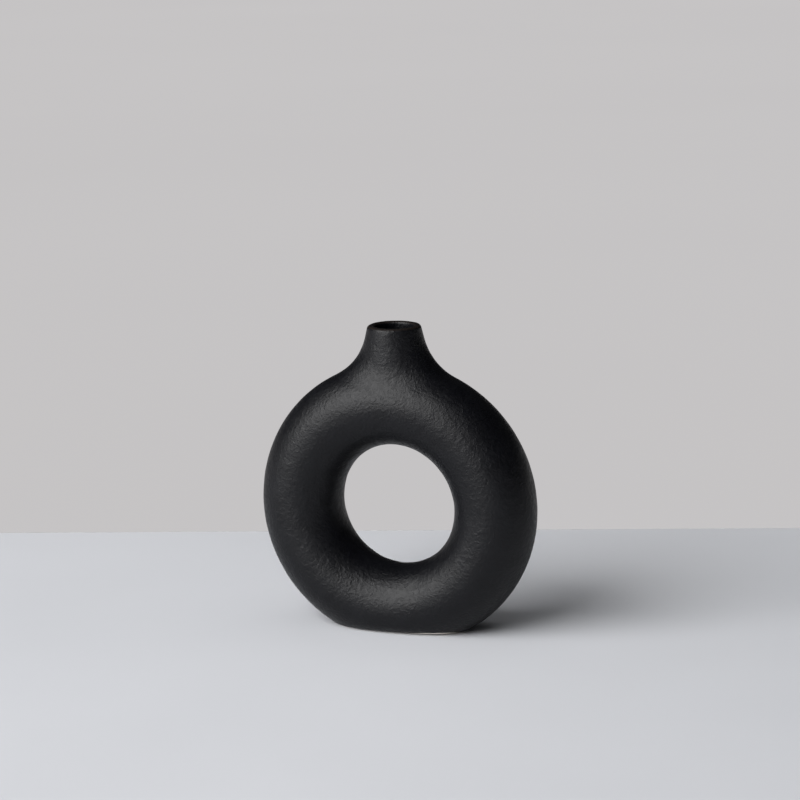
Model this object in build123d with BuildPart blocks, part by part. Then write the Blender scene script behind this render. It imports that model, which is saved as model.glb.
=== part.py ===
from build123d import *
import math
import os

# Donut vase: a hollow ring of slip-cast stoneware that stands on a flat foot and has a short,
# flaring neck at its top. The ring, the neck and the foot are one casting with an even wall.
# A gloss glaze lines the inside, a matte glaze covers the outside, and the foot is bare clay.
# Millimetres. The origin is the middle of the foot, +Z is up, X runs along the ring and
# Y runs through its hole, with the front towards -Y.

# Ring, measured over the glaze
ring_width = 187.0
tube_diameter = 53.3

# Neck: round at the rim, widening downwards more along the ring than across it
neck_height = 24.7  # from the top of the ring's circle to the rim
rim_diameter = 34.4
neck_taper = 13.8  # degrees from upright, along the ring
neck_across_share = 0.814  # half width of the neck's root across the ring, of the tube's radius
shoulder_radius = 41.5  # sweep from the neck into the ring
lip_round_outside = 2.4
lip_round_inside = 1.6

# Foot
foot_cut = 11.7  # how much the flat foot takes off the bottom of the ring's circle
foot_round = 10.2  # between the ring and the flat foot
bare_foot_height = 1.5  # band wiped clean of glaze above the table

# Walls
clay_thickness = 4.1
glaze_thickness = 0.4
lip_glaze_depth = 8.0  # how far the outside glaze runs down inside the mouth

# Worked out from the sizes above
tube_radius = tube_diameter / 2
ring_radius = ring_width / 2 - tube_radius
rim_radius = rim_diameter / 2
ring_centre_height = ring_width / 2 - foot_cut
neck_root_height = ring_centre_height + ring_radius  # deep inside the top of the ring
total_height = ring_width - foot_cut + neck_height
neck_length = total_height - neck_root_height
neck_root_along = rim_radius + neck_length * math.tan(math.radians(neck_taper))
neck_root_across = neck_across_share * tube_radius
overrun = glaze_thickness + clay_thickness


def vase_form(inset, top):
    """The whole vase as one solid form, each wall moved in by inset from the glaze's outside."""
    tube_inset_radius = tube_radius - inset
    floor = inset - glaze_thickness
    with BuildPart() as form:
        with BuildSketch(Plane.XY.offset(ring_centre_height)):
            with Locations((ring_radius, 0)):
                Circle(tube_inset_radius)
        revolve(axis=Axis((0, 0, ring_centre_height), (0, 1, 0)))
        with BuildSketch(Plane.XY.offset(neck_root_height)):
            Ellipse(neck_root_along - inset, neck_root_across - inset)
        with BuildSketch(Plane.XY.offset(total_height)):
            Ellipse(rim_radius - inset, rim_radius - inset)
        loft(ruled=True)
        ring_meets_neck = form.edges(Select.NEW).filter_by_position(
            Axis.Z, neck_root_height, total_height, (False, False)
        )
        fillet(ring_meets_neck, shoulder_radius + inset)
        split(bisect_by=Plane.XY.offset(floor), keep=Keep.TOP)
        fillet(form.edges().group_by(Axis.Z)[0], foot_round - inset)
        if top > total_height:
            extrude(form.faces().sort_by(Axis.Z)[-1], amount=top - total_height)
        else:
            split(bisect_by=Plane.XY.offset(top), keep=Keep.BOTTOM)
    return form.part


# The four surfaces of the wall, from the outside in, and one halfway through the clay
glazed_form = vase_form(0, total_height)
clay_form = vase_form(glaze_thickness, total_height - glaze_thickness)
clay_hollow = vase_form(glaze_thickness + clay_thickness, total_height + overrun)
water_space = vase_form(2 * glaze_thickness + clay_thickness, total_height + overrun)
lined_space = vase_form(glaze_thickness + clay_thickness / 2, total_height - lip_glaze_depth)

# Fired clay body: the one casting, an even shell open at the mouth
with BuildPart() as clay_body:
    add(clay_form)
    add(clay_hollow, mode=Mode.SUBTRACT)
    rim_edges = clay_body.edges().group_by(Axis.Z)[-1].sort_by(SortBy.LENGTH)
    fillet(rim_edges[-1], lip_round_outside - glaze_thickness)
    rim_edges = clay_body.edges().group_by(Axis.Z)[-1].sort_by(SortBy.LENGTH)
    fillet(rim_edges[0], lip_round_inside - glaze_thickness)

# All the glaze: what the finished vase has around the clay
with BuildPart() as glaze_coat:
    add(glazed_form)
    add(water_space, mode=Mode.SUBTRACT)
    rim_edges = glaze_coat.edges().group_by(Axis.Z)[-1].sort_by(SortBy.LENGTH)
    fillet(rim_edges[-1], lip_round_outside)
    rim_edges = glaze_coat.edges().group_by(Axis.Z)[-1].sort_by(SortBy.LENGTH)
    fillet(rim_edges[0], lip_round_inside)
    add(clay_body.part, mode=Mode.SUBTRACT)

# Gloss glaze poured round the inside, up to where the outside glaze reaches into the mouth
with BuildPart() as liner_glaze:
    add(glaze_coat.part)
    add(lined_space, mode=Mode.INTERSECT)

# Matte glaze over the outside and the lip, stopping short of the foot
with BuildPart() as outer_glaze:
    add(glaze_coat.part)
    add(lined_space, mode=Mode.SUBTRACT)
    split(bisect_by=Plane.XY.offset(bare_foot_height), keep=Keep.TOP)

os.makedirs("parts", exist_ok=True)
clay_body.part.label = "clay_body"
export_step(clay_body.part, "parts/clay_body.step")
liner_glaze.part.label = "liner_glaze"
export_step(liner_glaze.part, "parts/liner_glaze.step")
outer_glaze.part.label = "outer_glaze"
export_step(outer_glaze.part, "parts/outer_glaze.step")
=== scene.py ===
import bpy
import math
import numpy as np
from mathutils import Matrix, Vector


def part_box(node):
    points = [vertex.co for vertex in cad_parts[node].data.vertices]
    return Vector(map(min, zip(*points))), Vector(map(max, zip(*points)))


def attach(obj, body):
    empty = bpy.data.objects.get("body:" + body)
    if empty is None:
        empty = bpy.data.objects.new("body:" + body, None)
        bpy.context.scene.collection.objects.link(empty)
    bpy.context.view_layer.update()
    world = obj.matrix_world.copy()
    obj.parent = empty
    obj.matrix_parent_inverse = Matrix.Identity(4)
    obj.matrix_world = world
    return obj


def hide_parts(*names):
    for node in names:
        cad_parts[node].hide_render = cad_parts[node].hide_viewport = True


# Donut vase: matte black glaze outside, gloss black inside, standing on a bare clay foot.
# Metres. The origin is the middle of the foot, +Z is up and the front faces -Y.

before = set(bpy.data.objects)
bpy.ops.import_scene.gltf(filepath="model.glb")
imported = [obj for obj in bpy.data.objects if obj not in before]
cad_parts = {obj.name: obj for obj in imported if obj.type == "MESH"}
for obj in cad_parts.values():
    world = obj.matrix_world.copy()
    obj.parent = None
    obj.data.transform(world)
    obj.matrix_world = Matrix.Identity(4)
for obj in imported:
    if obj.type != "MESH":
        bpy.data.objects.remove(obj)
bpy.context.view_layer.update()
print("vase: frame loaded")

# sizes of the cast form over the outside glaze, the first three read off the frame
glazeLow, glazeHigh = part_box("outer_glaze")
form = {
    "ringWidth": glazeHigh.x - glazeLow.x,
    "tubeDiameter": glazeHigh.y - glazeLow.y,
    "height": glazeHigh.z,
    "footCut": 0.0117,  # what the flat foot takes off the ring's circle
    "rimDiameter": 0.0344,
    "neckTaper": 13.8,  # degrees from upright, along the ring
    "neckAcrossShare": 0.814,  # half width of the neck's root across, of the tube's radius
    "shoulder": 0.0415,  # radius of the sweep from the neck into the ring
    "footRound": 0.0102,
    "lipOutside": 0.0024,
    "lipInside": 0.0016,
    "clay": 0.0041,
    "glaze": 0.0004,
    "lipDepth": 0.008,  # how far the outside glaze runs down into the mouth
    "halvings": 48,  # in the search for the ball's height
}

tubeRadius = form["tubeDiameter"] / 2
ringRadius = form["ringWidth"] / 2 - tubeRadius
centreHeight = form["ringWidth"] / 2 - form["footCut"]
rimRadius = form["rimDiameter"] / 2
rootHeight = centreHeight + ringRadius
slopeAlong = math.tan(math.radians(form["neckTaper"]))
slopeAcross = (form["neckAcrossShare"] * tubeRadius - rimRadius) / (form["height"] - rootHeight)
wall = form["clay"] + 2 * form["glaze"]


def unit(v):
    # each vector divided by its own length
    return v / np.maximum(np.linalg.norm(v, axis=-1, keepdims=True), 1e-12)


def turnFrom(a, b, t):
    # along the great circle: (sin((1 - t) w) a + sin(t w) b) / sin(w), w the angle from a to b
    w = np.arccos(np.clip((a * b).sum(-1, keepdims=True), -1, 1)) + 1e-9
    return (np.sin((1 - t) * w) * a + np.sin(t * w) * b) / np.sin(w)


def ringPoint(along, around, inset):
    # torus: along goes round the ring from its top, around goes round the tube from its outside;
    # the way out is R + r cos around, swung by along, and the way to the back is -r sin around
    r = tubeRadius - inset
    reach = ringRadius + r * np.cos(around)
    return np.stack([reach * np.sin(along), -r * np.sin(around), centreHeight + reach * np.cos(along)], -1)


def ringAngles(p):
    # the torus's two angles at a point on it, by arc tangents
    reach = np.hypot(p[..., 0], p[..., 2] - centreHeight)
    return np.arctan2(p[..., 0], p[..., 2] - centreHeight), np.arctan2(-p[..., 1], reach - ringRadius)


def tubeMiddle(p):
    # the nearest point on the circle through the middle of the tube: the same way out, at the
    # ring's radius
    x, z = p[..., 0], p[..., 2] - centreHeight
    reach = np.hypot(x, z)
    return np.stack([x / reach * ringRadius, 0 * x, centreHeight + z / reach * ringRadius], -1)


def neckPoint(turn, z, inset):
    # elliptic cone: both half widths grow evenly with the drop from the rim, and the normal is
    # the cross product of the way round and the way up
    drop = form["height"] - z
    a, b = (rimRadius - inset + drop * slope for slope in (slopeAlong, slopeAcross))
    p = np.stack([a * np.cos(turn), b * np.sin(turn), z + 0 * turn], -1)
    sideways = np.stack([-a * np.sin(turn), b * np.cos(turn), 0 * (z + turn)], -1)
    upward = np.stack([-slopeAlong * np.cos(turn), -slopeAcross * np.sin(turn), 1 + 0 * turn], -1)
    return p, unit(np.cross(sideways, upward + 0 * sideways))


def shoulderBall(turn, inset):
    # a ball rolls in the corner of neck and ring; its height is halved in on until it touches both
    ball = form["shoulder"] + inset
    low, high = turn * 0 + rootHeight - tubeRadius / 2, turn * 0 + rootHeight + 3 * tubeRadius
    for halving in range(form["halvings"]):
        z = (low + high) / 2
        p, n = neckPoint(turn, z, inset)
        c = p + ball * n
        clear = np.linalg.norm(c - tubeMiddle(c), axis=-1) > tubeRadius - inset + ball
        low, high = np.where(clear, low, z), np.where(clear, z, high)
    return z, c, unit(tubeMiddle(c) - c), -n, ball


def footBall(turn, inset):
    # a ball rolls inside the corner of ring and foot: its middle keeps one height above the foot
    # and one distance from the tube's middle; turn starts at -X
    level = form["footRound"] - form["glaze"]
    drop, keep = centreHeight - level, tubeRadius - form["footRound"]
    y = math.sqrt(keep ** 2 - max(drop - ringRadius, 0) ** 2) * np.sin(turn)
    x = np.sqrt(np.maximum((ringRadius + np.sqrt(keep ** 2 - y ** 2)) ** 2 - drop ** 2, 0))
    c = np.stack([-x * np.sign(np.cos(turn)), y, level + 0 * y], -1)
    return c, unit(c - tubeMiddle(c)), form["footRound"] - inset


# the glaze's skin: a grid round the ring, with a block of cells at the top replaced by rows that
# run up the neck and into the mouth, and one at the bottom by rows down to the edge above the foot
skin = {
    "cells": (450, 156),  # round the ring, round the tube; these and the blocks divide by 3
    "neckBlock": (39, 33),  # half its cells each way
    "footBlock": (45, 36),
    "shoulderRows": 45,
    "lipRows": 8,  # over each of the lip's two rounds
    "mouthRows": 9,
    "footRows": 15,
    "lowerRows": 3,  # round the glaze's lower edge
    "turnSteps": 2880,  # when a block's edge is matched with the neck or the foot
    "edgeHalvings": 40,  # in the search for the glaze's lower edge
    "edgeHeight": 0.0010,  # where the foot was wiped clean of glaze
    "swell": 0.0016,  # wiped higher at the front right
    "swellTurn": 232,  # degrees round the foot from its left end
    "swellTightness": 6,
    "edgeWander": 0.00013,
    "ripples": ((5, 0.6, 1.0), (11, 2.1, 0.7), (23, 4.0, 0.5)),  # waves round the foot, phase, share
    "bead": 0.00009,  # the glaze gathers a little above its edge
    "beadAbove": 0.0006,
    "beadWidth": 0.0007,
    "edgeSag": 0.4,  # how far the rounded edge hangs, of the glaze's thickness
    "mouthRelief": 0.4,  # share of the unevenness inside the mouth
    "mouthFrom": 0.6,  # where the mouth begins, of the wall's thickness from outside
    "thinDepth": 0.0012,  # below the rim, where the glaze runs thin over the lip
    "seed": 11,
    "waves": 90,
    "waveLength": (0.0045, 0.016),
    "waveHeight": 0.000032,
}


def edgeLine(turn):
    # height of the glaze's lower edge: a mean, a swell exp(tightness (cos t - 1)) and three ripples
    ripple = sum(share * np.sin(waves * turn + phase) for waves, phase, share in skin["ripples"])
    off = turn - math.radians(skin["swellTurn"])
    swell = np.exp(skin["swellTightness"] * (np.cos(off) - 1))
    return skin["edgeHeight"] + skin["swell"] * swell + skin["edgeWander"] / 2 * ripple


def blockEdge(cells, half, middle):
    # numbers and angles of the grid points round a block, counter-clockwise seen from outside, from
    # the middle of one side; an angle is a full turn times the point's cells over the grid's
    h, k = half
    i = np.r_[np.full(k, h), np.arange(h, -h, -1), np.full(2 * k, -h), np.arange(-h, h), np.full(k, h)]
    j = np.r_[-np.arange(k), np.full(2 * h, -k), np.arange(-k, k), np.full(2 * h, k), np.arange(k, 0, -1)]
    number = (middle + i) % cells[0] * cells[1] + j % cells[1]
    return number, i * 2 * math.pi / cells[0], j * 2 * math.pi / cells[1]


def matchTurns(edgeAngles, ballAngles):
    # for each point of a block's edge, the turn whose touching point lies the same way out, after
    # both angles are divided by their widest reach
    turn = np.linspace(0, 2 * math.pi, skin["turnSteps"] + 1)
    along, around = ballAngles(turn)
    wide, deep = np.abs(along).max(), np.abs(around).max()
    way = np.unwrap(np.arctan2(-around / deep, along / wide))
    aim = np.unwrap(np.arctan2(-edgeAngles[1] / deep, edgeAngles[0] / wide))
    return np.interp(aim, way, turn)


def overRing(start, stop, t, middle, inset):
    # straight in the torus's two angles from start to stop
    along, around = ((1 - t) * a + t * b for a, b in zip(start, stop))
    return ringPoint(along + middle, around, inset)


def lengthOverRing(start, stop):
    # the angles' differences times their radii there
    reach = ringRadius + tubeRadius * np.cos((start[1] + stop[1]) / 2)
    return np.hypot(reach * (start[0] - stop[0]), tubeRadius * (start[1] - stop[1]))


def angleBetween(a, b):
    # the arc cosine of their dot product
    return np.arccos(np.clip((a * b).sum(-1), -1, 1))


def neckRows(start, inset, mouthInset, top, counts):
    # from the block's edge over the ring, up the sweep and up the cone, shared out evenly by the
    # length along them, then over the lip and down the mouth
    def touch(turn):
        # where the ball touches the ring, as the ring's two angles
        z, c, toRing, toNeck, ball = shoulderBall(turn, inset)
        return ringAngles(c + ball * toRing)

    turn = matchTurns(start, touch)
    z, c, toRing, toNeck, ball = shoulderBall(turn, inset)
    stop = ringAngles(c + ball * toRing)
    lipOut, lipIn = form["lipOutside"] - inset, form["lipInside"] - (wall - mouthInset)
    lean = neckPoint(turn, 0 * turn + top, inset)[1][:, 2]
    lipFoot = top - lipOut + lipOut * lean
    lengths = np.array([lengthOverRing(start, stop), ball * angleBetween(toRing, toNeck), lipFoot - z])
    ends = np.cumsum(lengths, 0)
    d = np.arange(1, counts[0] + 1)[:, None] / counts[0] * ends[2]
    share = [np.clip((d - ends[k] + lengths[k]) / lengths[k], 0, 1) for k in range(3)]
    ring = overRing(start, stop, share[0], 0, inset)
    sweep = c + ball * turnFrom(toRing, toNeck, share[1][..., None])
    cone, out = neckPoint(turn + 0 * share[2], z + share[2] * (lipFoot - z), inset)
    climb = np.where((d < ends[0])[..., None], ring, np.where((d < ends[1])[..., None], sweep, cone))
    # lip: two quarter rounds with the land between them
    up = np.array([0, 0, 1.0])
    t = np.linspace(0, 1, counts[1] + 1)[:, None, None]
    outward = out[-1] * np.ones_like(t)
    outer = cone[-1] - lipOut * out[-1] + lipOut * turnFrom(outward, up + 0 * outward, t)
    lipEnd = top - lipIn - lipIn * neckPoint(turn, 0 * turn + top, mouthInset)[1][:, 2]
    inside, inward = neckPoint(turn, lipEnd, mouthInset)
    inner = inside + lipIn * inward + lipIn * turnFrom(up + 0 * outward, -inward * np.ones_like(t), t)
    depth = np.arange(1, counts[2] + 1)[:, None] / counts[2]
    mouthEnd = form["height"] - form["lipDepth"]
    mouth = neckPoint(turn + 0 * depth, lipEnd + depth * (mouthEnd - lipEnd), mouthInset)[0]
    return np.concatenate([climb, outer[1:], inner, mouth])


def footRows(start, inset, count):
    # from the block's edge over the ring and round the foot's corner, shared out evenly by the
    # length along them down to the glaze's edge, which is halved in on
    def touch(turn):
        # where the ball touches the ring, its first angle counted from the ring's bottom
        c, out, ball = footBall(turn, inset)
        along, around = ringAngles(c + ball * out)
        return np.arctan2(-np.sin(along), -np.cos(along)), around

    turn = matchTurns(start, touch)
    c, out, ball = footBall(turn, inset)
    stop = touch(turn)
    down = np.array([0, 0, -1.0]) + 0 * out
    lengths = np.array([lengthOverRing(start, stop), ball * angleBetween(out, down)])

    def path(d):
        # the points that far along, over the ring and then round the corner
        ring = overRing(start, stop, np.clip(d / lengths[0], 0, 1), math.pi, inset)
        t = np.clip((d - lengths[0]) / lengths[1], 0, 1)[..., None]
        corner = c + ball * turnFrom(out + 0 * ring, down + 0 * ring, t)
        return np.where((d < lengths[0])[..., None], ring, corner)

    low, high = 0 * turn, lengths.sum(0)
    for halving in range(skin["edgeHalvings"]):
        d = (low + high) / 2
        above = path(d)[:, 2] > edgeLine(turn)
        low, high = np.where(above, d, low), np.where(above, high, d)
    return path(np.arange(1, count + 1)[:, None] / count * d)


def bandFaces(index):
    # quads between neighbouring rows of a grid whose columns close on themselves
    a, b = index[:-1], index[1:]
    return np.stack([a, np.roll(a, -1, 1), np.roll(b, -1, 1), b], -1).reshape(-1, 4)


def castSide(step, inset, mouthInset, top):
    # one side of the skin: the ring's grid without its two blocks, the neck's rows, the foot's rows
    cells = tuple(n // step for n in skin["cells"])
    i, j = np.meshgrid(np.arange(cells[0]), np.arange(cells[1]), indexing="ij")
    ring = ringPoint(i * 2 * math.pi / cells[0], j * 2 * math.pi / cells[1], inset).reshape(-1, 3)
    acrossHalf = np.abs((j + 0.5 + cells[1] / 2) % cells[1] - cells[1] / 2)
    fromTop = np.abs((i + 0.5 + cells[0] / 2) % cells[0] - cells[0] / 2)
    blocks = {name: tuple(n // step for n in skin[name]) for name in ("neckBlock", "footBlock")}
    cut = (fromTop < blocks["neckBlock"][0]) & (acrossHalf < blocks["neckBlock"][1])
    cut |= (cells[0] / 2 - fromTop < blocks["footBlock"][0]) & (acrossHalf < blocks["footBlock"][1])
    number = i * cells[1] + j
    nextI, nextJ = np.roll(number, -1, 0), np.roll(number, -1, 1)
    faces = [np.stack([number, nextJ, np.roll(nextI, -1, 1), nextI], -1)[~cut]]
    points, loops, count = [ring], [], len(ring)
    counts = [skin[name] // step for name in ("shoulderRows", "lipRows", "mouthRows")]
    for name, middle in (("neckBlock", 0), ("footBlock", cells[0] // 2)):
        edge, along, around = blockEdge(cells, blocks[name], middle)
        if middle:
            rows = footRows((along, around), inset, skin["footRows"] // step)
        else:
            rows = neckRows((along, around), inset, mouthInset, top, counts)
        grid = np.concatenate([edge[None], count + np.arange(rows[..., 0].size).reshape(rows.shape[:2])])
        points.append(rows.reshape(-1, 3))
        faces.append(bandFaces(grid))
        loops.append(grid[-1])
        count += rows[..., 0].size
    return np.concatenate(points), np.concatenate(faces), loops


def pointNormals(points, faces):
    # the crossed diagonals of all quads at a point, added up
    p = points[faces]
    across = np.cross(p[:, 2] - p[:, 0], p[:, 3] - p[:, 1])
    corners, size = faces.ravel(), len(points)
    total = [np.bincount(corners, np.repeat(across[:, k], 4), size) for k in range(3)]
    return unit(np.stack(total, -1))


def leather(points):
    # soft unevenness of the glaze: plane waves in seeded directions, lengths and phases, added up
    dice = np.random.default_rng(skin["seed"])
    way = unit(dice.normal(size=(skin["waves"], 3)))
    length = dice.uniform(*skin["waveLength"], skin["waves"])
    phase = dice.uniform(0, 2 * math.pi, skin["waves"])
    heights = np.sin(points @ (way / length[:, None] * 2 * math.pi).T + phase) @ (length / length.mean())
    return skin["waveHeight"] * heights / math.sqrt(skin["waves"] / 2)


def makeMesh(name, points, faces, attributes):
    # numbers the points that are used, then fills the mesh
    used, flat = np.unique(np.concatenate([f.ravel() for f in faces]), return_inverse=True)
    sizes = np.concatenate([np.full(len(f), f.shape[1]) for f in faces])
    mesh = bpy.data.meshes.new(name)
    mesh.vertices.add(len(used))
    mesh.vertices.foreach_set("co", points[used].astype(np.float32).ravel())
    mesh.loops.add(len(flat))
    mesh.loops.foreach_set("vertex_index", flat.ravel().astype(np.int32))
    mesh.polygons.add(len(sizes))
    mesh.polygons.foreach_set("loop_start", (np.cumsum(sizes) - sizes).astype(np.int32))
    mesh.polygons.foreach_set("use_smooth", np.ones(len(sizes), bool))
    mesh.update(calc_edges=True)
    for key, values in attributes.items():
        layer = mesh.attributes.new(key, "FLOAT", "POINT")
        layer.data.foreach_set("value", values[used].astype(np.float32))
    mesh.validate()
    piece = bpy.data.objects.new(name, mesh)
    bpy.context.scene.collection.objects.link(piece)
    return piece


def stitch(fine, coarse):
    # three edges of the fine loop to one of the coarse loop: a triangle, a quad and a triangle
    f = np.stack([np.roll(fine, -k)[::3] for k in range(4)], -1)
    c, d = coarse, np.roll(coarse, -1)
    sides = np.concatenate([np.stack([f[:, 0], f[:, 1], c], -1), np.stack([f[:, 2], f[:, 3], d], -1)])
    return sides, np.stack([f[:, 1], f[:, 2], d, c], -1)


def glazeSkin():
    # outside face with its unevenness, rounded lower edge, then the coarser face against the clay
    height, glaze = form["height"], form["glaze"]
    points, faces, (mouthEdge, footEdge) = castSide(1, 0, wall, height)
    normals = pointNormals(points, faces)
    aboveEdge = points[:, 2] - skin["edgeHeight"]
    bead = skin["bead"] * np.exp(-((aboveEdge - skin["beadAbove"]) / skin["beadWidth"]) ** 2)
    reach = np.hypot(points[:, 0], points[:, 1])
    mouth = (points[:, 2] > rootHeight + tubeRadius) & (reach < rimRadius - wall * skin["mouthFrom"])
    relief = leather(points) * np.where(mouth, skin["mouthRelief"], 1)
    points = points + normals * (relief + bead)[:, None]
    back, backFaces, (backMouth, backFoot) = castSide(3, glaze, wall - glaze, height - glaze)
    # rounded lower edge: a half ellipse from the outside face to the clay
    first, coarse = points[footEdge], back[np.r_[backFoot, backFoot[:1]]]
    at, known = np.arange(len(first)), np.arange(0, len(first) + 1, 3)
    last = np.stack([np.interp(at, known, coarse[:, k]) for k in range(3)], -1)
    t = np.linspace(0, 1, skin["lowerRows"] + 2)[1:-1, None, None]
    lower = first + (last - first) * (1 - np.cos(math.pi * t)) / 2
    lower = lower + np.sin(math.pi * t) * np.array([0, 0, -glaze * skin["edgeSag"]])
    turns = len(points) + np.arange(lower[..., 0].size).reshape(lower.shape[:2])
    footGrid = np.concatenate([footEdge[None], turns])
    shift = len(points) + lower[..., 0].size
    sides = stitch(mouthEdge, backMouth + shift), stitch(footGrid[-1], backFoot + shift)
    triangles, quads = zip(*sides)
    everything = np.concatenate([points, lower.reshape(-1, 3), back])
    allFaces = [faces, bandFaces(footGrid), backFaces[:, ::-1] + shift, *triangles, *quads]
    # thin grows from 0 in the middle of the lip to 1 at its two sides, and fades out below it
    high = np.clip((everything[:, 2] - height) / skin["thinDepth"] + 1, 0, 1)
    fromMiddle = np.abs(np.hypot(everything[:, 0], everything[:, 1]) - (rimRadius - wall / 2))
    thin = high * np.clip(fromMiddle / (wall / 2), 0, 1)
    return makeMesh("glaze_skin", everything, allFaces, {"thin": thin})


outerGlaze = glazeSkin()
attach(outerGlaze, "root")
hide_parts("outer_glaze")
print("vase: outside glaze", len(outerGlaze.data.vertices), "points")


def newMaterial(name):
    # a material with its node tree and its shader
    material = bpy.data.materials.new(name)
    material.use_nodes = True
    tree = material.node_tree
    return material, tree, tree.nodes["Principled BSDF"]


def addNode(tree, kind, settings=None, **inputs):
    # a node with its settings, and its inputs set or linked
    node = tree.nodes.new(kind)
    for key, value in (settings or {}).items():
        setattr(node, key, value)
    for key, value in inputs.items():
        socket = node.inputs[int(key[1:])] if key[1:].isdigit() else node.inputs[key]
        if isinstance(value, bpy.types.NodeSocket):
            tree.links.new(value, socket)
        else:
            socket.default_value = value
    return node


def noise(tree, place, scale, detail=2.0, rough=0.5, distortion=0.0):
    # fractal noise: scale waves a metre, detail octaves, each rough times the one before
    settings = {"Scale": scale, "Detail": detail, "Roughness": rough, "Distortion": distortion}
    return addNode(tree, "ShaderNodeTexNoise", None, Vector=place, **settings).outputs["Fac"]


def ramp(tree, value, first, second):
    # a straight line between two (place, level) stops, even beyond them
    node = addNode(tree, "ShaderNodeValToRGB", None, Fac=value)
    for element, (place, level) in zip(node.color_ramp.elements, (first, second)):
        element.position = place
        element.color = (level, level, level, 1)
    return node.outputs["Color"]


def mixColour(tree, factor, a, b):
    # (1 - factor) a + factor b
    node = addNode(tree, "ShaderNodeMix", {"data_type": "RGBA"}, _0=factor)
    for socket, value in ((node.inputs[6], a), (node.inputs[7], b)):
        if isinstance(value, bpy.types.NodeSocket):
            tree.links.new(value, socket)
        else:
            socket.default_value = (*value, 1)
    return node.outputs[2]


def calc(tree, operation, a, b=0.0, c=0.0):
    # one math node on up to three values
    return addNode(tree, "ShaderNodeMath", {"operation": operation}, _0=a, _1=b, _2=c).outputs[0]


matte = {
    "colour": (0.0007, 0.0008, 0.0018),
    "paler": (0.0018, 0.0020, 0.0033),
    "clouds": (70, 3.0, 0.6),  # waves a metre, octaves, how much each keeps of the last
    "cloudStops": ((0.35, 0), (0.7, 1)),
    "brown": (0.024, 0.016, 0.011),  # where the glaze runs thin over the lip
    "brownPatches": 900,  # waves a metre
    "brownStops": ((0.3, 0.4), (0.6, 1)),
    "grain": 0.0026,  # pitch of the leathery grain
    "grainShape": (1.5, 0.5, 0.8),  # octaves, how much each keeps, distortion
    "grainDepth": 0.00035,
    "fine": 0.0008,
    "fineDepth": 0.00002,
    "rough": (0.40, 0.50),  # on the grain's tops and in its hollows
    "roughReach": (0.32, 0.68),  # the grain's heights that count as hollow and top
    "specular": 0.28,
}


def matteGlaze():
    # colour in faint clouds, brown where thin; grain and a finer noise give the bump, and the
    # roughness falls evenly as the grain rises
    material, tree, shader = newMaterial("matte_black_glaze")
    place = addNode(tree, "ShaderNodeTexCoord").outputs["Object"]
    grain = noise(tree, place, 1 / matte["grain"], *matte["grainShape"])
    fine = noise(tree, place, 1 / matte["fine"], 1.0)
    cloud = ramp(tree, noise(tree, place, *matte["clouds"]), *matte["cloudStops"])
    base = mixColour(tree, cloud, matte["colour"], matte["paler"])
    thin = addNode(tree, "ShaderNodeAttribute", {"attribute_name": "thin"}).outputs["Fac"]
    patches = ramp(tree, noise(tree, place, matte["brownPatches"]), *matte["brownStops"])
    broken = calc(tree, "MULTIPLY", thin, patches)
    tree.links.new(mixColour(tree, broken, base, matte["brown"]), shader.inputs["Base Color"])
    low, high = matte["rough"]
    hollow, top = matte["roughReach"]
    reach = {"From Min": hollow, "From Max": top, "To Min": high, "To Max": low}
    spread = addNode(tree, "ShaderNodeMapRange", None, Value=grain, **reach)
    tree.links.new(spread.outputs[0], shader.inputs["Roughness"])
    first = addNode(tree, "ShaderNodeBump", None, Height=grain, Distance=matte["grainDepth"])
    bump = {"Height": fine, "Distance": matte["fineDepth"], "Normal": first.outputs[0]}
    tree.links.new(addNode(tree, "ShaderNodeBump", None, **bump).outputs[0], shader.inputs["Normal"])
    shader.inputs["Specular IOR Level"].default_value = matte["specular"]
    return material


gloss = {
    "colour": (0.006, 0.006, 0.007),
    "paler": (0.014, 0.013, 0.013),
    "clouds": (55, 3.0, 0.6),
    "cloudStops": ((0.35, 0), (0.7, 1)),
    "rough": (0.07, 0.16),
    "ripple": 0.006,
    "rippleShape": (1.5, 0.4),
    "rippleDepth": 0.00018,
}


def glossGlaze():
    # colour and roughness in the same faint clouds, over a soft ripple
    material, tree, shader = newMaterial("gloss_black_glaze")
    place = addNode(tree, "ShaderNodeTexCoord").outputs["Object"]
    ripple = noise(tree, place, 1 / gloss["ripple"], *gloss["rippleShape"])
    cloud = noise(tree, place, *gloss["clouds"])
    share = ramp(tree, cloud, *gloss["cloudStops"])
    tree.links.new(mixColour(tree, share, gloss["colour"], gloss["paler"]), shader.inputs["Base Color"])
    low, high = gloss["rough"]
    tree.links.new(calc(tree, "MULTIPLY_ADD", cloud, high - low, low), shader.inputs["Roughness"])
    bump = addNode(tree, "ShaderNodeBump", None, Height=ripple, Distance=gloss["rippleDepth"])
    tree.links.new(bump.outputs[0], shader.inputs["Normal"])
    return material


clay = {
    "colour": (0.66, 0.61, 0.54),
    "paler": (0.76, 0.72, 0.66),
    "clouds": (90, 4.0, 0.6),
    "cloudStops": ((0.3, 0), (0.7, 1)),
    "speck": (0.20, 0.13, 0.08),
    "speckScale": 420,
    "speckStops": ((0.10, 1), (0.18, 0)),  # dark inside the first, gone outside the second
    "patches": (260, 0.0),
    "patchStops": ((0.52, 0), (0.6, 1)),
    "sand": 0.0006,
    "sandShape": (3.0, 0.65),
    "sandDepth": 0.00006,
    "rough": (0.72, 0.92),
    "specular": 0.3,
}


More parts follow.
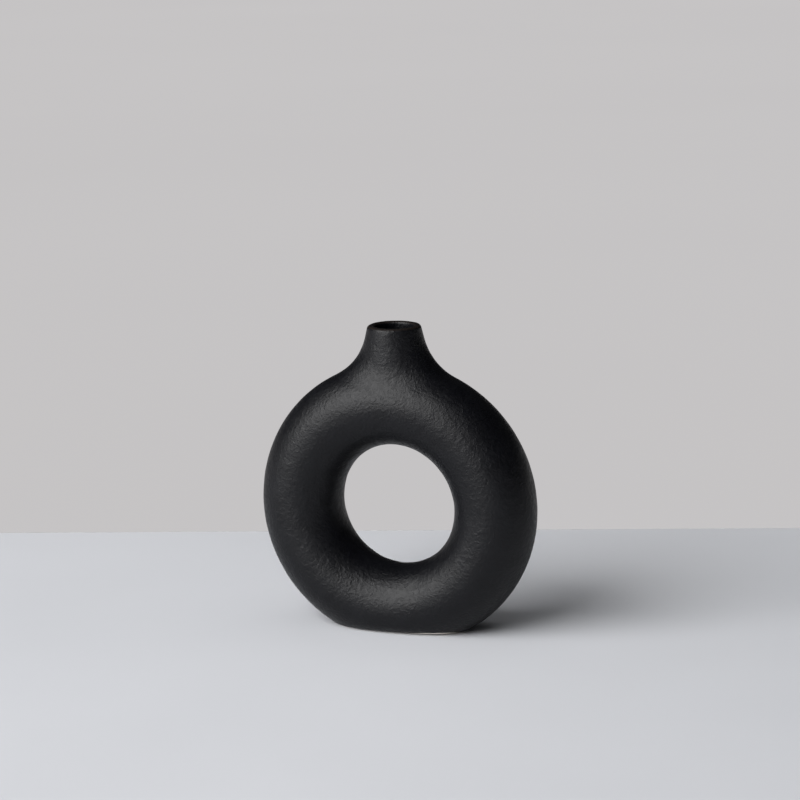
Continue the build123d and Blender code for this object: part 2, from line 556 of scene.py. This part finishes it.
def bareClay():
    # faint clouds, dark specks where both a cell's middle and a patch of noise fall, sandy bump
    material, tree, shader = newMaterial("bare_stoneware")
    place = addNode(tree, "ShaderNodeTexCoord").outputs["Object"]
    cloud = ramp(tree, noise(tree, place, *clay["clouds"]), *clay["cloudStops"])
    base = mixColour(tree, cloud, clay["colour"], clay["paler"])
    cells = {"Vector": place, "Scale": clay["speckScale"], "Randomness": 1.0}
    specks = addNode(tree, "ShaderNodeTexVoronoi", {"feature": "F1"}, **cells)
    near = ramp(tree, specks.outputs["Distance"], *clay["speckStops"])
    some = ramp(tree, noise(tree, place, *clay["patches"]), *clay["patchStops"])
    dark = calc(tree, "MULTIPLY", near, some)
    tree.links.new(mixColour(tree, dark, base, clay["speck"]), shader.inputs["Base Color"])
    sand = noise(tree, place, 1 / clay["sand"], *clay["sandShape"])
    low, high = clay["rough"]
    tree.links.new(calc(tree, "MULTIPLY_ADD", sand, high - low, low), shader.inputs["Roughness"])
    bump = addNode(tree, "ShaderNodeBump", None, Height=sand, Distance=clay["sandDepth"])
    tree.links.new(bump.outputs[0], shader.inputs["Normal"])
    shader.inputs["Specular IOR Level"].default_value = clay["specular"]
    return material


def dress(piece, material):
    # the one material on the piece
    piece.data.materials.clear()
    piece.data.materials.append(material)


dress(outerGlaze, matteGlaze())
for node, material in (("liner_glaze", glossGlaze()), ("clay_body", bareClay())):
    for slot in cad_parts[node].material_slots:
        slot.material = material
print("vase: glazes and clay")


# the camera stands where the photograph was taken from
view = {
    "yaw": 21.448,  # degrees to the right of straight in front
    "elevation": 14.026,
    "roll": -1.494,
    "distance": 1.8163,  # from the middle of the ring
    "focalPixels": 2792.46,
    "imagePixels": 800,
    "middlePixel": (396.02, 503.66),  # where the middle of the ring is seen
    "sensor": 36.0,
    "clip": (0.05, 60.0),
}


def placeCamera():
    # out from the ring's middle by yaw and elevation, turned back to face it, then pitched and
    # panned by the arc tangents of its pixel's offsets over the focal length, and rolled
    lens = bpy.data.cameras.new("view_camera")
    lens.sensor_width = view["sensor"]
    lens.lens = view["focalPixels"] / view["imagePixels"] * view["sensor"]
    lens.clip_start, lens.clip_end = view["clip"]
    camera = bpy.data.objects.new("view_camera", lens)
    yaw, rise, roll = (math.radians(view[key]) for key in ("yaw", "elevation", "roll"))
    back = Vector((math.sin(yaw) * math.cos(rise), -math.cos(yaw) * math.cos(rise), math.sin(rise)))
    offX, offY = ((pixel - view["imagePixels"] / 2) / view["focalPixels"] for pixel in view["middlePixel"])
    pitch = math.atan(offY)
    pan = math.atan(offX * math.cos(pitch))
    turned = Matrix.Rotation(yaw, 4, "Z") @ Matrix.Rotation(math.pi / 2 - rise + pitch, 4, "X")
    turned = turned @ Matrix.Rotation(pan, 4, "Y") @ Matrix.Rotation(roll, 4, "Z")
    at = Vector((0, 0, centreHeight)) + back * view["distance"]
    camera.matrix_world = Matrix.Translation(at) @ turned
    bpy.context.scene.collection.objects.link(camera)
    bpy.context.scene.camera = camera
    return camera


def floorPoint(camera, pixel):
    # where the sight line through a pixel meets the floor: the camera's place less its height
    # times the line's run for each unit that it rises
    middle, focal = view["imagePixels"] / 2, view["focalPixels"]
    sight = Vector(((pixel[0] - middle) / focal, (middle - pixel[1]) / focal, -1))
    ray = camera.matrix_world.to_3x3() @ sight
    at = camera.matrix_world.translation
    return at - ray * (at.z / ray.z)


camera = placeCamera()

tableTop = {
    "colour": (0.62, 0.63, 0.661),
    "cloudPitch": 0.33,
    "cloudStrength": 0.025,
    "rough": 0.95,
    "specular": 0.1,
    "edgePixels": ((0, 533), (800, 528)),  # where it ends in the picture
    "half": 8.0,  # from the middle of that line to the left and right
    "depth": 1.5,  # towards the camera
}


def sheetPiece(name, points, faces):
    # a piece of the stage from its points and faces
    mesh = bpy.data.meshes.new(name)
    mesh.from_pydata([tuple(p) for p in points], [], [tuple(f) for f in faces])
    piece = bpy.data.objects.new(name, mesh)
    bpy.context.scene.collection.objects.link(piece)
    return piece


def unevenColour(tree, piece):
    # faint clouds of its pitch, from its colour (1 - strength) to its colour (1 + strength)
    place = addNode(tree, "ShaderNodeTexCoord").outputs["Object"]
    cloud = ramp(tree, noise(tree, place, 1 / piece["cloudPitch"], 3.0), (0.3, 0), (0.7, 1))
    shares = 1 - piece["cloudStrength"], 1 + piece["cloudStrength"]
    darker, lighter = (tuple(share * c for c in piece["colour"]) for share in shares)
    return mixColour(tree, cloud, darker, lighter)


def paleTable():
    # a dull surface with faint clouds
    material, tree, shader = newMaterial("pale_table")
    tree.links.new(unevenColour(tree, tableTop), shader.inputs["Base Color"])
    shader.inputs["Roughness"].default_value = tableTop["rough"]
    shader.inputs["Specular IOR Level"].default_value = tableTop["specular"]
    return material


def buildTable():
    # a rectangle: from the line where it ends, along it to both sides and square to it in depth
    left, right = (floorPoint(camera, pixel) for pixel in tableTop["edgePixels"])
    middle, along = (left + right) / 2, (right - left).normalized() * tableTop["half"]
    near = middle - Vector((-along.y, along.x, 0)).normalized() * tableTop["depth"]
    corners = [near - along, near + along, middle + along, middle - along]
    dress(sheetPiece("table", corners, [(0, 1, 2, 3)]), paleTable())


backdrop = {
    "colour": (0.562, 0.549, 0.553),
    "cloudPitch": 1.5,
    "cloudStrength": 0.01,
    "bounce": 0.4,  # share of its brightness that it gives to dull surfaces
    "reach": 12.0,  # its flat part, before it turns up all round
    "round": 0.4,
    "height": 0.5,
    "below": 0.002,  # under the table's top
    "cells": (12, 144),  # up its quarter round, all round its rim
}


def paleBackdrop():
    # shines at strength 1 for camera, glossy and transmission rays and at the bounce for others,
    # and is see-through from behind
    material, tree, shader = newMaterial("pale_backdrop")
    tree.nodes.remove(shader)
    path = addNode(tree, "ShaderNodeLightPath").outputs
    seen = calc(tree, "MAXIMUM", path["Is Camera Ray"], path["Is Glossy Ray"])
    seen = calc(tree, "MAXIMUM", seen, path["Is Transmission Ray"])
    strength = calc(tree, "MAXIMUM", seen, backdrop["bounce"])
    colour = unevenColour(tree, backdrop)
    glow = addNode(tree, "ShaderNodeEmission", None, Color=colour, Strength=strength).outputs[0]
    behind = addNode(tree, "ShaderNodeNewGeometry").outputs["Backfacing"]
    clear = addNode(tree, "ShaderNodeBsdfTransparent").outputs[0]
    both = addNode(tree, "ShaderNodeMixShader", None, _0=behind, _1=glow, _2=clear)
    tree.links.new(both.outputs[0], tree.nodes["Material Output"].inputs["Surface"])
    return material


def buildBackdrop():
    # a disc, whose rim turns up by (r sin bend, r (1 - cos bend)) and runs on upright
    upCells, roundCells = backdrop["cells"]
    bend = np.linspace(0, math.pi / 2, upCells + 1)[:, None]
    reach = backdrop["reach"] + backdrop["round"] * np.sin(bend)
    rise = backdrop["round"] * (1 - np.cos(bend))
    reach, rise = np.r_[reach, reach[-1:]], np.r_[rise, [[backdrop["height"]]]]
    turn = np.linspace(0, 2 * math.pi, roundCells + 1)[:-1]
    x, y, z = reach * np.cos(turn), reach * np.sin(turn), rise - backdrop["below"] + 0 * turn
    points = np.stack([x, y, z], -1)
    number = np.arange(x.size).reshape(x.shape)
    faces = [number[0].tolist(), *bandFaces(number)[:, ::-1].tolist()]
    dress(sheetPiece("backdrop", points.reshape(-1, 3), faces), paleBackdrop())


lamps = {
    "keyTurn": -33.0,  # degrees to the right of straight in front
    "keyRise": 31.5,
    "keyDistance": 4.0,
    "keySize": (4.0, 4.0),
    "keyBright": 6.2,
    "fillDistance": 3.0,  # straight above
    "fillSize": (3.0, 3.0),
    "fillBright": 0.63,
    "roomColour": (0.98, 0.99, 1),
    "roomBright": 0.03,
}


def softbox(name, way, distance, size, bright):
    # a flat lamp that way out from the middle of the ring, facing it; its power is pi times its
    # area times the brightness of its surface
    lamp = bpy.data.lights.new(name, "AREA")
    lamp.shape = "RECTANGLE"
    lamp.size, lamp.size_y = size
    lamp.energy = math.pi * lamp.size * lamp.size_y * bright
    piece = bpy.data.objects.new(name, lamp)
    piece.location = Vector((0, 0, centreHeight)) + way * distance
    piece.rotation_euler = way.to_track_quat("Z", "Y").to_euler()
    bpy.context.scene.collection.objects.link(piece)
    return piece


def lightStudio():
    # the key's way out is (sin turn cos rise, -cos turn cos rise, sin rise)
    turn, rise = math.radians(lamps["keyTurn"]), math.radians(lamps["keyRise"])
    way = Vector((math.sin(turn) * math.cos(rise), -math.cos(turn) * math.cos(rise), math.sin(rise)))
    softbox("key", way, lamps["keyDistance"], lamps["keySize"], lamps["keyBright"])
    above = Vector((0, 0, 1))
    fill = softbox("fill", above, lamps["fillDistance"], lamps["fillSize"], lamps["fillBright"])
    fill.visible_glossy = False  # it only lightens the shadow
    world = bpy.data.worlds.new("room")
    bpy.context.scene.world = world
    world.use_nodes = True
    room = world.node_tree.nodes["Background"].inputs
    room["Color"].default_value = (*lamps["roomColour"], 1)
    room["Strength"].default_value = lamps["roomBright"]


buildTable()
buildBackdrop()
lightStudio()
bpy.context.scene.view_settings.view_transform = "Standard"
print("vase: studio")
